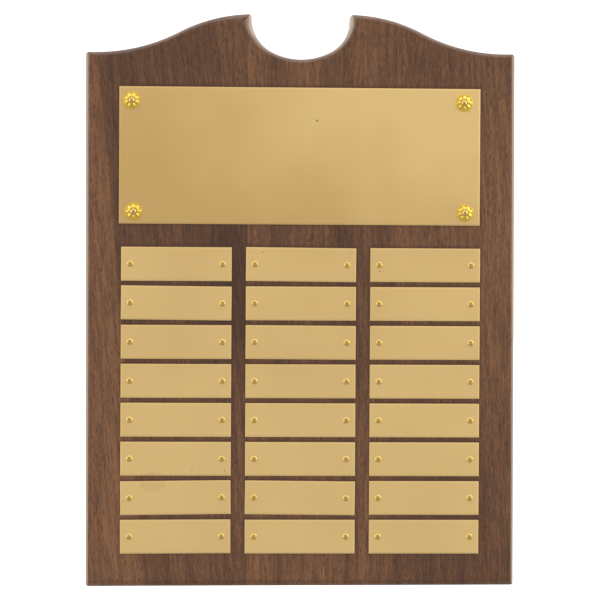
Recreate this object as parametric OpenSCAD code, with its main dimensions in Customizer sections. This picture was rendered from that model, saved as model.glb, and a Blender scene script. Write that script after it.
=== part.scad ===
// Wall plaque: a walnut board glued up from three staves, a brass header plate with four
// rosettes, and twenty-four brass name plates pinned to its face.
// Millimetres. +X to the right, +Z up, the front faces -Y and the back lies in the plane y = 0.
// The origin is the centre of the keyhole hanger's entry hole, in the plane of the back.

/* [Board] */
// Overall width of the board
board_w = 304.8; // [230:0.2:380]
// Overall height of the board, foot to horn tips
board_h = 406.4; // [330:0.2:500]
// Thickness of the board
board_t = 19; // [14:0.5:28]
// Height from the shoulders up to the horn tips
crown_rise = 27.4; // [20:0.2:36]
// Flat run of each shoulder before its curve starts
shoulder_flat = 7; // [3:0.5:15]
// Share of each shoulder curve's reach that is the hollow cove, the rest being the round crown
cove_share = 0.525; // [0.4:0.005:0.65]
// Round-over along the front edge
edge_round = 4; // [1:0.25:5]
// Easing of the outline's corners, seen from the front
corner_ease = 2; // [1:0.25:2.75]

/* [Top notch] */
// Width of the notch between the horns
notch_w = 70.2; // [56:0.2:90]
// Depth of the notch below the horn tips
notch_depth = 32; // [26:0.2:39]
// Height of the upright wall between each horn tip and the notch's curve
notch_wall = 3.05; // [1:0.05:6]
// Radius of the notch's sides, as a share of the height from its floor up to its walls
notch_side_share = 0.93; // [0.75:0.005:0.95]
// How far inside the notch walls the crowns reach their highest point
crown_lead = 1.6; // [0:0.1:4]

/* [Staves] */
// Width of the left stave
stave_left_w = 114.4; // [70:0.2:140]
// Width of the right stave
stave_right_w = 86.4; // [60:0.2:110]

/* [Brass plates] */
// Thickness of the brass sheet
sheet_t = 0.8; // [0.5:0.1:2]
// Width of the bevel round each plate's front edge
bevel_w = 1; // [0.3:0.1:2]
// Depth of the bevel round each plate's front edge
bevel_d = 0.15; // [0.05:0.05:0.45]
// Margin from the board's side to the name plates
side_margin = 25; // [15:0.5:40]
// Margin from the board's foot to the lowest row of name plates
foot_margin = 23.4; // [15:0.2:40]
// Margin from the shoulder line down to the header plate
header_margin = 25; // [15:0.5:40]
// Height of the header plate
header_h = 97; // [60:0.5:130]
// How far each end of the header plate stands past the name plates below it
header_overhang = 0.6; // [-2:0.1:4]
// Sideways offset of the header plate, as it was laid by hand
header_shift = -1.1; // [-3:0.1:3]
// Gap between the header plate and the first row
header_gap = 16.4; // [8:0.2:30]
// Number of rows of name plates
rows = 8; // [4:1:9]
// Number of columns of name plates
columns = 3; // [2:1:3]
// Gap between columns
column_gap = 10.1; // [4:0.1:20]
// Gap between rows
row_gap = 3.6; // [2:0.1:8]
// Turn of the whole layout, in degrees, as it was laid by hand
layout_turn = -0.18; // [-0.3:0.01:0.3]

/* [Pins] */
// Diameter of a name-plate pin's head
pin_head_d = 4.5; // [3:0.1:6]
// Height of a name-plate pin's head
pin_head_h = 1.1; // [0.6:0.1:2]
// Diameter of a name-plate pin's shank
pin_d = 1.2; // [0.8:0.1:2]
// Length of a name-plate pin below its head
pin_len = 9.5; // [6:0.5:12]
// Distance from a name plate's end to its pin
pin_inset = 6.4; // [4:0.1:12]
// How much deeper than its pin a pilot hole is drilled
pilot_spare = 0.5; // [0.2:0.1:1]
// Clearance between a pin's shank and a plate's hole, on the radius
pin_plate_clear = 0.1; // [0.05:0.05:0.3]
// Clearance between a pin's shank and its pilot hole in the wood, on the radius
pin_wood_clear = 0.02; // [0.01:0.01:0.05]

/* [Rosettes] */
// Diameter of a rosette
rosette_d = 12; // [9:0.1:18]
// Height of a rosette above the header plate
rosette_h = 2.6; // [1.6:0.1:4]
// Height of the floor that the nail's head rests on, above the header plate
rosette_floor = 1; // [0.4:0.1:1.2]
// Width of the flat rim round a rosette
rosette_rim_w = 0.9; // [0.4:0.1:1.5]
// Thickness of a rosette at its rim
rosette_rim_t = 0.7; // [0.3:0.1:1]
// Number of petals on a rosette
petals = 8; // [6:1:12]
// Clearance between a nail's head and the recess that it sits in, on the radius
nail_head_clear = 0.2; // [0.1:0.05:0.6]
// Distance from the header plate's end to a rosette's centre
rosette_inset_x = 10; // [7:0.1:20]
// Distance from the header plate's top or bottom edge to a rosette's centre
rosette_inset_z = 9.3; // [7:0.1:20]
// Diameter of a rosette nail's head
nail_head_d = 4.4; // [3:0.1:4.6]
// Height of a rosette nail's head
nail_head_h = 1.2; // [0.8:0.1:1.8]
// Diameter of a rosette nail's shank
nail_d = 1.6; // [1:0.1:2.2]
// Length of a rosette nail below its head
nail_len = 13; // [8:0.5:15]

/* [Keyhole hanger] */
// Length of the hanger plate
hanger_l = 44; // [36:0.5:60]
// Width of the hanger plate
hanger_w = 16; // [14:0.5:22]
// Thickness of the hanger plate
hanger_t = 1.2; // [1.2:0.1:2]
// Distance from the notch's floor down to the hanger's middle
hanger_drop = 42; // [34:0.5:80]
// Distance from the hanger's middle down to its entry hole
entry_drop = 5; // [3:0.5:7]
// Radius of the entry hole for the wall screw's head
entry_r = 4.75; // [4:0.05:5.5]
// Width of the slot that the wall screw's shank slides up
slot_w = 4.5; // [3.5:0.1:5.5]
// Travel of the wall screw from the entry hole to the end of the slot
slot_run = 11; // [8:0.5:14]
// Depth of the pocket behind the hanger, from the back face
pocket_depth = 8; // [6:0.5:10]
// How much wider than the entry hole the pocket is, on the radius
pocket_margin = 0.75; // [0.5:0.05:1]
// Clearance round the hanger plate in its recess
recess_clear = 0.2; // [0.1:0.05:0.5]
// Distance from the hanger's end to its screw
screw_inset = 5; // [4.5:0.1:7]
// Diameter of a hanger screw's head
screw_head_d = 5.2; // [4.6:0.1:5.6]
// Outside diameter of a hanger screw's thread
screw_d = 2.9; // [2.5:0.1:3.5]
// Length of a hanger screw
screw_len = 12; // [8:0.5:13]
// Clearance round a hanger screw's shank in the plate and the wood, on the radius
screw_clear = 0.02; // [0.01:0.01:0.1]

/* [Hidden] */
$fn = 96;
over = 1; // how far a cutter runs past the face that it cuts
hair = 0.004; // how far two arcs that should just touch run into each other
bend_run = 3; // how far the crown is drawn on past the bend, inside the wood
// How far short of a true quarter circle the round-over bit cuts. Passes that meet have unequal
// settings, so that one always ends inside the other
bit_depth = 0.01;
next_depth = 0.04;
pass_lap = 1.2; // how far one pass of the bit runs on past the next one's start
walnut = "#6B4A37";
walnut_dark = "#5E4030";
brass = "#D0B175";
gold = "#E3BE3E";
zinc = "#B9BDC2";

// Board outline
half_w = board_w / 2;
shoulder_z = board_h - crown_rise;
notch_half = notch_w / 2;
notch_floor_z = board_h - notch_depth;
crown_x = notch_half - crown_lead;
cove_x = half_w - shoulder_flat;
curve_reach = cove_x - crown_x;
// the sum of the cove's and the crown's radii that closes the reach and the rise
curve_r_sum = (pow(curve_reach, 2) + pow(crown_rise, 2) - pow(hair, 2)) / (2 * (crown_rise - hair));
cove_r = neat(curve_r_sum * cove_share);
crown_r = neat(curve_r_sum) - cove_r;
cove_centre = [cove_x, shoulder_z + cove_r];
crown_centre = [crown_x, board_h - crown_r];
bend_angle = atan2(cove_centre.y - crown_centre.y, curve_reach); // crown centre to cove centre
bend = crown_centre + crown_r * [cos(bend_angle), sin(bend_angle)]; // where the two arcs meet

// Notch outline: a floor arc, two side arcs that touch it from inside, and upright walls
side_z = board_h - notch_wall;
side_rise = side_z - notch_floor_z; // floor up to the centres of the side arcs
notch_side_r = neat(side_rise * notch_side_share);
side_x = notch_half - notch_side_r;
touch_r = notch_side_r - hair;
// the radius of the floor arc that closes the width and the rise
notch_floor_r = neat((pow(side_x, 2) + pow(side_rise, 2) - pow(touch_r, 2)) / (2 * (side_rise - touch_r)));
floor_centre_z = notch_floor_z + notch_floor_r;
side_angle = atan2(floor_centre_z - side_z, side_x); // below the horizontal, centre to centre
side_touch = [notch_floor_r * cos(side_angle), floor_centre_z - notch_floor_r * sin(side_angle)];

// Glue lines
glue_left_x = stave_left_w - half_w;
glue_right_x = half_w - stave_right_w;

// Brass plates
header_w = board_w - 2 * side_margin + 2 * header_overhang;
header_z = shoulder_z - header_margin - header_h / 2;
rows_top = header_z - header_h / 2 - header_gap;
plate_w = (board_w - 2 * side_margin - (columns - 1) * column_gap) / columns;
plate_h = (rows_top - foot_margin - (rows - 1) * row_gap) / rows;
layout_z = (header_z + foot_margin) / 2; // height about which the layout is turned
rosette_corners = [[-1, 1], [1, 1], [1, -1], [-1, -1]];
rosette_recess_d = nail_head_d + 2 * nail_head_clear;
petal_ratio = 0.36; // a petal's radius as a share of the ring that it lies in
petal_proud = 0.4; // how much of a petal's radius stands above the dish
// how far each rosette sits from its exact corner place, nailed by eye
rosette_drift = [[-1.3, -0.5], [-1.5, -0.6], [-0.5, -0.3], [0.3, -0.6]];
// name plates that hang visibly out of true: row, column, degrees
crooked = [[7, 1, 0.7], [7, 2, -0.5], [1, 2, -0.4], [2, 1, -0.4], [8, 1, 0.3], [3, 2, -0.25]];

// Pins and nails
point_ratio = 1.5; // length of a shank's point over its diameter
tip_ratio = 1 / 6; // flat at the tip of the point over the shank's diameter

// Keyhole hanger
hanger_z = notch_floor_z - hanger_drop;
entry_z = hanger_z - entry_drop;
screw_sink = (screw_head_d - screw_d) / 2; // height of a 90 degree countersunk head
screw_point = 3.5;
thread_pitch = 1.2;
thread_depth = 0.4;
// where a thread's crest ends, and where its root starts and ends, as shares of the pitch
crest_end = 0.1;
root_start = 0.4;
root_end = 0.75;
// the recess for a cross-point driver
cross_l = 3;
cross_w = 0.9;
cross_depth = 0.7;

function neat(x) = round(x * 1000) / 1000;
function plate_name(r, c) = str("name_plate_r", r, "_c", c);
function plate_x(c) = (c - (columns + 1) / 2) * (plate_w + column_gap);
function plate_z(r) = rows_top - plate_h / 2 - (r - 1) * (plate_h + row_gap);
function plate_turn(r, c) =
    let (found = [for (p = crooked) if (p[0] == r && p[1] == c) p[2]])
    len(found) > 0 ? found[0] : 0;
// a point turned about another by so many degrees
function turned(p, about, degrees) =
    about + [
        (p.x - about.x) * cos(degrees) - (p.y - about.y) * sin(degrees),
        (p.x - about.x) * sin(degrees) + (p.y - about.y) * cos(degrees)
    ];
function laid_out(p) = turned(p, [0, layout_z], layout_turn);
function plate_pin(r, c, side) =
    laid_out(turned([plate_x(c) + side * (plate_w / 2 - pin_inset), plate_z(r)],
        [plate_x(c), plate_z(r)], plate_turn(r, c)));
// where a rosette sits on the header plate, from the plate's centre
function rosette_offset(k) = rosette_drift[k] + [
    rosette_corners[k].x * (header_w / 2 - rosette_inset_x),
    rosette_corners[k].y * (header_h / 2 - rosette_inset_z)
];
function rosette_at(k) = laid_out([header_shift, header_z] + rosette_offset(k));

PLATE_PINS = [for (r = [1:rows]) for (c = [1:columns]) for (s = [-1, 1]) plate_pin(r, c, s)];
ROSETTES = [for (k = [0:3]) rosette_at(k)];

// ---- places and helpers ----

// Puts children, drawn with z = 0 at the board's foot, into the part's frame
module placed() {
    translate([0, 0, -entry_z]) children();
}

// Stands a 2D shape, drawn in x and z, upright between two depths
module upright(front, back) {
    translate([0, back, 0]) rotate([90, 0, 0]) linear_extrude(back - front) children();
}

// Turns children, drawn along +Z, to point out of the front at a place on the board
module facing_front(at, depth) {
    translate([at.x, depth, at.y]) rotate([90, 0, 0]) children();
}

// Both the right-hand shape and its mirror image
module both_sides() {
    children();
    mirror([1, 0, 0]) children();
}

// A circle about a centre
module disc(centre, r) {
    translate(centre) circle(r);
}

// A rectangle between two corners
module block2d(low, high) {
    translate(low) square(high - low);
}

// The scrap outside an eased corner that lies at a point and opens towards [dx, dy]
module corner_scrap(at, dx, dy) {
    inner = at + corner_ease * [dx, dy];
    difference() {
        block2d([min(at.x - dx, inner.x), min(at.y - dy, inner.y)],
            [max(at.x - dx, inner.x), max(at.y - dy, inner.y)]);
        disc(inner, corner_ease);
    }
}

// ---- board ----

module notch_2d() {
    intersection() {
        disc([0, floor_centre_z], notch_floor_r);
        block2d([-side_touch.x, 0], [side_touch.x, side_touch.y]);
    }
    polygon([
        [-side_touch.x, side_touch.y], [side_touch.x, side_touch.y],
        [side_x, side_z], [-side_x, side_z]
    ]);
    both_sides() disc([side_x, side_z], notch_side_r);
    block2d([-notch_half, side_z], [notch_half, board_h + over]);
}

// Right half of the outline, before its notch and corners are cut
module half_outline_2d() {
    block2d([0, 0], [crown_x, board_h]);
    intersection() {
        disc(crown_centre, crown_r);
        block2d([crown_x - over, bend.y - bend_run], [bend.x + bend_run, board_h]);
    }
    difference() {
        block2d([0, 0], [half_w, bend.y]);
        disc(cove_centre, cove_r);
        block2d([cove_x, shoulder_z], [half_w + over, bend.y + over]);
    }
}

module outline_2d() {
    difference() {
        both_sides() half_outline_2d();
        notch_2d();
        both_sides() {
            corner_scrap([half_w, 0], -1, 1);
            corner_scrap([half_w, shoulder_z], -1, -1);
            corner_scrap([notch_half, board_h], 1, -1);
        }
    }
}

// Section of what the round-over takes off an edge that lies at the origin, with the wood
// towards +X and the front face towards -Y
module round_over_2d(depth) {
    difference() {
        translate([-over, -over]) square(edge_round + over);
        translate([edge_round, edge_round]) circle(edge_round + depth);
    }
}

// Round-over along a straight edge. Seen from the front, it starts at a point and runs up (0),
// right (90), down (180) or left (270), with the wood on its right-hand side
module straight_round(from, length, heading) {
    translate([from.x, -board_t, from.y]) rotate([0, heading, 0])
        linear_extrude(length) round_over_2d(bit_depth);
}

// Round-over along an arc from one angle through another, with the wood outside the arc or in it
module arc_round(centre, r, start, sweep, wood_inside, depth) {
    lap = pass_lap / r * 180 / PI;
    translate([centre.x, -board_t, centre.y]) rotate([90, 0, 0]) rotate([0, 0, start - lap])
        rotate_extrude(angle = sweep + 2 * lap, $fn = 180)
            translate([r, 0]) mirror([wood_inside ? 1 : 0, 0, 0]) mirror([0, 1, 0])
                round_over_2d(depth);
}

module round_overs() {
    straight_round([half_w + over, 0], board_w + 2 * over, 270);
    both_sides() {
        straight_round([half_w, shoulder_z + over], shoulder_z + 2 * over, 180);
        straight_round([cove_x - pass_lap, shoulder_z], shoulder_flat + pass_lap + over, 90);
        arc_round(cove_centre, cove_r, 180 + bend_angle, 90 - bend_angle, false, next_depth);
        arc_round(crown_centre, crown_r, bend_angle, 90 - bend_angle, true, bit_depth);
        straight_round([notch_half, side_z - pass_lap], board_h + over - side_z + pass_lap, 0);
        arc_round([side_x, side_z], notch_side_r, -side_angle, side_angle, false, next_depth);
    }
    arc_round([0, floor_centre_z], notch_floor_r,
        180 + side_angle, 180 - 2 * side_angle, false, bit_depth);
}

// Blind pilot holes for every pin and nail that reaches into the wood between two x values
module pilot_holes(low_x, high_x) {
    for (p = PLATE_PINS) if (p.x > low_x - pin_d && p.x < high_x + pin_d)
        facing_front(p, 0) pilot(pin_d, pin_len - sheet_t);
    for (p = ROSETTES) if (p.x > low_x - nail_d && p.x < high_x + nail_d)
        facing_front(p, 0) pilot(nail_d, nail_len - sheet_t - rosette_floor);
}

// One pilot hole that a shank of a diameter enters by so much from the front face
module pilot(d, reach) {
    translate([0, 0, board_t - reach - pilot_spare])
        cylinder(h = reach + pilot_spare + over, r = d / 2 + pin_wood_clear, $fn = 32);
}

// Recess for the hanger plate, the pocket behind it and the holes for its two screws
module hanger_recess() {
    upright(-hanger_t, over) hanger_outline_2d(recess_clear);
    upright(-pocket_depth, over) pocket_2d();
    hanger_screw_places() screw_space(screw_len + pilot_spare);
}

module stave(low_x, high_x) {
    placed() difference() {
        upright(-board_t, 0) intersection() {
            outline_2d();
            block2d([low_x, -over], [high_x, board_h + over]);
        }
        round_overs();
        pilot_holes(low_x, high_x);
        hanger_recess();
    }
}

module stave_left() {
    color(walnut_dark) stave(-half_w - over, glue_left_x);
}

module stave_centre() {
    color(walnut) stave(glue_left_x, glue_right_x);
}

module stave_right() {
    color(walnut_dark) stave(glue_right_x, half_w + over);
}

// ---- brass plates ----

// Section of a sheet of a length, with its back on the X axis and both front edges bevelled
module sheet_section_2d(length) {
    polygon([
        [-length / 2, 0], [-length / 2, bevel_d - sheet_t], [bevel_w - length / 2, -sheet_t],
        [length / 2 - bevel_w, -sheet_t], [length / 2, bevel_d - sheet_t], [length / 2, 0]
    ]);
}

// A sheet centred on the Y axis, with its back in the plane y = 0
module bevelled_sheet(w, h) {
    intersection() {
        linear_extrude(h, center = true) sheet_section_2d(w);
        rotate([0, -90, 0]) linear_extrude(w, center = true) sheet_section_2d(h);
    }
}

// A hole through a sheet for a shank of a diameter
module sheet_hole(at, d) {
    facing_front(at, over) cylinder(h = sheet_t + 2 * over, r = d / 2 + pin_plate_clear, $fn = 32);
}

// Lays a plate on the board's face, turned with the layout and by its own few tenths of a degree
module laid(at, own_turn) {
    place = laid_out(at);
    placed() translate([place.x, -board_t, place.y]) rotate([0, -layout_turn - own_turn, 0])
        children();
}

module header_plate() {
    color(brass) laid([header_shift, header_z], 0) difference() {
        bevelled_sheet(header_w, header_h);
        for (k = [0:3]) sheet_hole(rosette_offset(k), nail_d);
    }
}

module name_plate(r, c) {
    color(brass) laid([plate_x(c), plate_z(r)], plate_turn(r, c)) difference() {
        bevelled_sheet(plate_w, plate_h);
        for (side = [-1, 1]) sheet_hole([side * (plate_w / 2 - pin_inset), 0], pin_d);
    }
}

// ---- pins, rosettes and nails, drawn pointing along +Z with their seat at z = 0 ----

// Domed head of a diameter and height, as a cap of one sphere
module domed_head(d, h) {
    r = (pow(d / 2, 2) + pow(h, 2)) / (2 * h);
    rotate_extrude($fn = 48) intersection() {
        translate([0, h - r]) circle(r);
        square([d / 2 + over, h + over]);
    }
}

// Pointed shank that hangs below z = 0
module shank(d, length) {
    point = point_ratio * d;
    translate([0, 0, point - length]) cylinder(h = length - point, d = d, $fn = 32);
    translate([0, 0, -length]) cylinder(h = point, d1 = d * tip_ratio, d2 = d, $fn = 32);
}

module domed_pin(head_d, head_h, d, length) {
    domed_head(head_d, head_h);
    shank(d, length);
}

module name_plate_pins() {
    color(brass) placed() for (p = PLATE_PINS)
        facing_front(p, -board_t - sheet_t) domed_pin(pin_head_d, pin_head_h, pin_d, pin_len);
}

// Pressed rosette: a rim, a dish that rises to a ring of round petals, and a recess for the nail
module rosette() {
    outer_r = rosette_d / 2;
    recess_r = rosette_recess_d / 2;
    petal_r = (outer_r - recess_r) * petal_ratio;
    petal_ring_r = (outer_r + recess_r) / 2;
    dish_h = rosette_h - petal_r * petal_proud;
    difference() {
        union() {
            rotate_extrude($fn = 64) polygon([
                [0, 0], [outer_r, 0], [outer_r, rosette_rim_t], [outer_r - rosette_rim_w, rosette_rim_t],
                [petal_ring_r, dish_h], [0, dish_h]
            ]);
            for (k = [0:petals - 1]) rotate([0, 0, (k + 0.5) * 360 / petals])
                translate([petal_ring_r, 0, rosette_h - petal_r]) sphere(petal_r, $fn = 32);
        }
        translate([0, 0, -rosette_h]) cylinder(h = rosette_h, r = rosette_d, $fn = 48);
        translate([0, 0, rosette_floor]) cylinder(h = rosette_h, r = recess_r, $fn = 48);
        translate([0, 0, -over])
            cylinder(h = rosette_h + 2 * over, r = nail_d / 2 + pin_plate_clear, $fn = 32);
    }
}

module rosettes() {
    color(gold) placed() for (p = ROSETTES) facing_front(p, -board_t - sheet_t) rosette();
}

module rosette_pins() {
    color(brass) placed() for (p = ROSETTES)
        facing_front(p, -board_t - sheet_t - rosette_floor)
            domed_pin(nail_head_d, nail_head_h, nail_d, nail_len);
}

// ---- keyhole hanger ----

// Oval outline of the hanger plate, grown by a margin
module hanger_outline_2d(margin) {
    r = hanger_w / 2;
    for (end = [-1, 1]) disc([0, hanger_z + end * (hanger_l / 2 - r)], r + margin);
    block2d([-r - margin, hanger_z - hanger_l / 2 + r], [r + margin, hanger_z + hanger_l / 2 - r]);
}

// A run of a width from the entry hole's centre to the end of the slot, with round ends
module slot_2d(r) {
    disc([0, entry_z], r);
    disc([0, entry_z + slot_run], r);
    block2d([-r, entry_z], [r, entry_z + slot_run]);
}

// Outline of the pocket that the wall screw's head travels in
module pocket_2d() {
    slot_2d(entry_r + pocket_margin);
}

module hanger_screw_places() {
    for (end = [-1, 1])
        translate([0, 0, hanger_z + end * (hanger_l / 2 - screw_inset)]) rotate([-90, 0, 0]) children();
}

// Cone of a hanger screw's countersunk head, with its face at z = 0
module screw_cone() {
    translate([0, 0, -screw_sink])
        cylinder(h = screw_sink, d1 = screw_d, d2 = screw_head_d, $fn = 48);
}

// What a hanger screw takes out of the plate and the wood
module screw_space(depth) {
    screw_cone();
    translate([0, 0, -depth]) cylinder(h = depth, r = screw_d / 2 + screw_clear, $fn = 32);
}

// One wood screw: countersunk head with a cross recess, ringed thread and a point
module hanger_screw() {
    thread_r = screw_d / 2;
    root_r = thread_r - thread_depth;
    turns = floor((screw_len - screw_point - screw_sink) / thread_pitch);
    difference() {
        rotate_extrude($fn = 48) polygon(concat(
            [[0, 0], [screw_head_d / 2, 0], [thread_r, -screw_sink]],
            [for (k = [0:turns - 1]) each [
                [thread_r, -screw_sink - (k + crest_end) * thread_pitch],
                [root_r, -screw_sink - (k + root_start) * thread_pitch],
                [root_r, -screw_sink - (k + root_end) * thread_pitch]
            ]],
            [[root_r, screw_point - screw_len], [0, -screw_len]]
        ));
        for (quarter = [0, 90]) rotate([0, 0, quarter])
            translate([-cross_l / 2, -cross_w / 2, -cross_depth])
                cube([cross_l, cross_w, cross_depth + over]);
    }
}

module keyhole_hanger() {
    color(zinc) placed() difference() {
        upright(-hanger_t, 0) hanger_outline_2d(0);
        upright(-hanger_t - over, over) disc([0, entry_z], entry_r);
        upright(-hanger_t - over, over) slot_2d(slot_w / 2);
        hanger_screw_places() screw_space(hanger_t + over);
    }
}

module hanger_screws() {
    color(zinc) placed() hanger_screw_places() hanger_screw();
}

stave_left();
stave_centre();
stave_right();
header_plate();
for (r = [1:rows]) for (c = [1:columns])
    name_plate(r, c);
name_plate_pins();
rosettes();
rosette_pins();
keyhole_hanger();
hanger_screws();
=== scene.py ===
"""Wall plaque in walnut and brass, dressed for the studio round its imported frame.

Everything is in metres: +X to the right, +Z up the grain, and the front faces -Y. The origin is
the centre of the keyhole hanger's entry hole, in the plane of the back.
"""

import logging
import math
from dataclasses import dataclass, field
from enum import Enum

import bmesh
import bpy
import numpy as np
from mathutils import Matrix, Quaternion, Vector


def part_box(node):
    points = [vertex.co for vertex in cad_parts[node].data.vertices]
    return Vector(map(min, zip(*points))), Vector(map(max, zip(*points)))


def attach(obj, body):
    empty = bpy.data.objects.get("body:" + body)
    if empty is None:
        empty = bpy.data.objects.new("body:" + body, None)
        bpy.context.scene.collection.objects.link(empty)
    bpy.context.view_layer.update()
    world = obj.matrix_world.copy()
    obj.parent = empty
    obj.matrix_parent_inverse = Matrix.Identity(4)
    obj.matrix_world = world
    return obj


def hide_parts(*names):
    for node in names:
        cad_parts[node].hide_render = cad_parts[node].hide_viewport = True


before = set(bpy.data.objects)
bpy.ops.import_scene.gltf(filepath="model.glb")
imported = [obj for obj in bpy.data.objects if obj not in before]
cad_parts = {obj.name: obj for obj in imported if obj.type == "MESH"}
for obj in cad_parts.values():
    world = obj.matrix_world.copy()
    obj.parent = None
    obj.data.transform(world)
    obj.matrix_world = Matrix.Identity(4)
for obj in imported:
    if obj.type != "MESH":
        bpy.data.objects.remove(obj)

logging.basicConfig(level=logging.INFO, format="%(message)s")
LOG = logging.getLogger("plaque")

MM = 0.001
BODY = "root"
MERGE = 1e-6
SHARP_ANGLE = math.radians(32)
# vertex attribute with a painted dark reflection in the middle of a domed head
PAINTED_DARK_REFLECTION = "painted_dark_reflection"
# vertex attribute with a painted pale highlight along the rosettes' ribs
RIB_HIGHLIGHT = "rib_highlight"


class Slot(Enum):
    """Material slots of the record, one for each finish."""

    WALNUT = "walnut"
    SHEET = "sheet_brass"
    PIN = "pin_brass"
    ROSETTE = "rosette_brass"
    ZINC = "zinc_steel"


# ---- colours and shader nodes ----


def linear(hex_colour: str) -> tuple[float, float, float, float]:
    """Turns an sRGB hex colour into linear light.

    Args:
        hex_colour: A colour such as "#6B4A37".

    Returns:
        Red, green, blue and alpha for a colour socket.
    """
    srgb = np.array([int(hex_colour[i:i + 2], 16) for i in (1, 3, 5)]) / 255
    light = np.where(srgb <= 0.04045, srgb / 12.92, ((srgb + 0.055) / 1.055) ** 2.4)
    return (*light.tolist(), 1.0)


def add_node(tree: bpy.types.NodeTree, kind: str, inputs: dict | None = None,
             stops: tuple | None = None, **settings) -> bpy.types.Node:
    """Adds one node with its settings and links.

    Args:
        tree: The node tree that it goes in.
        kind: The node's type.
        inputs: For each input, by name or place, a value, a hex colour, a socket, or a node whose
            first output is meant.
        stops: For a colour ramp, pairs of a place and a colour or a grey level.
        settings: Other settings of the node, by name.

    Returns:
        The new node.
    """
    node = tree.nodes.new(kind)
    for name, value in settings.items():
        setattr(node, name, value)
    if stops:
        ramp = node.color_ramp.elements
        while len(ramp) < len(stops):
            ramp.new(1.0)
        for element, (place, tint) in zip(ramp, stops):
            element.position = place
            element.color = linear(tint) if isinstance(tint, str) else (tint, tint, tint, 1.0)
    for key, value in (inputs or {}).items():
        if isinstance(value, bpy.types.Node):
            value = value.outputs[0]
        if isinstance(value, bpy.types.NodeSocket):
            tree.links.new(value, node.inputs[key])
        else:
            node.inputs[key].default_value = linear(value) if isinstance(value, str) else value
    return node


def new_shader(name: str, **settings) -> tuple[bpy.types.Material, bpy.types.NodeTree, bpy.types.Node]:
    """Starts a material with one surface shader.

    Args:
        name: The material's name.
        settings: Values for the shader's own sockets, with "_" for a space in their names.

    Returns:
        The material, its node tree and its surface shader.
    """
    material = bpy.data.materials.new(name)
    material.use_nodes = True
    tree = material.node_tree
    shader = tree.nodes["Principled BSDF"]
    for key, value in settings.items():
        shader.inputs[key.replace("_", " ")].default_value = value
    return material, tree, shader


def oval_reach(tree: bpy.types.NodeTree, place: bpy.types.Node | bpy.types.NodeSocket,
               middle: tuple[float, float, float], half_w: float, half_h: float) -> bpy.types.NodeSocket:
    """Measures how far a place is from the middle of an upright oval.

    Args:
        tree: The node tree.
        place: The place.
        middle: The oval's middle, in metres.
        half_w: The oval's half width, in millimetres.
        half_h: The oval's half height, in millimetres.

    Returns:
        The distance, which is 1 on the oval.
    """
    off = add_node(tree, "ShaderNodeVectorMath", {0: place, 1: middle}, operation="SUBTRACT")
    off = add_node(tree, "ShaderNodeVectorMath", {
        0: off, 1: (1 / (half_w * MM), 0, 1 / (half_h * MM))}, operation="MULTIPLY")
    return add_node(tree, "ShaderNodeVectorMath", {0: off}, operation="LENGTH").outputs["Value"]


def drawn_noise(tree: bpy.types.NodeTree, place: bpy.types.Node | bpy.types.NodeSocket, across: float,
                along: float, detail: float, roughness: float = 0.5) -> bpy.types.Node:
    """Makes noise that is drawn out up the plaque, as grain and rolling lines are.

    Args:
        tree: The node tree.
        place: The place.
        across: The noise's size in x and y, in millimetres.
        along: The noise's size in z, in millimetres.
        detail: How many finer layers the noise has.
        roughness: How strong the finer layers are.

    Returns:
        The noise, from 0 to 1.
    """
    drawn = add_node(tree, "ShaderNodeMapping", {
        "Vector": place, "Scale": (1 / (across * MM), 1 / (across * MM), 1 / (along * MM))})
    return add_node(tree, "ShaderNodeTexNoise", {
        "Vector": drawn, "Scale": 1.0, "Detail": detail, "Roughness": roughness})


# ---- finishes ----


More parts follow.
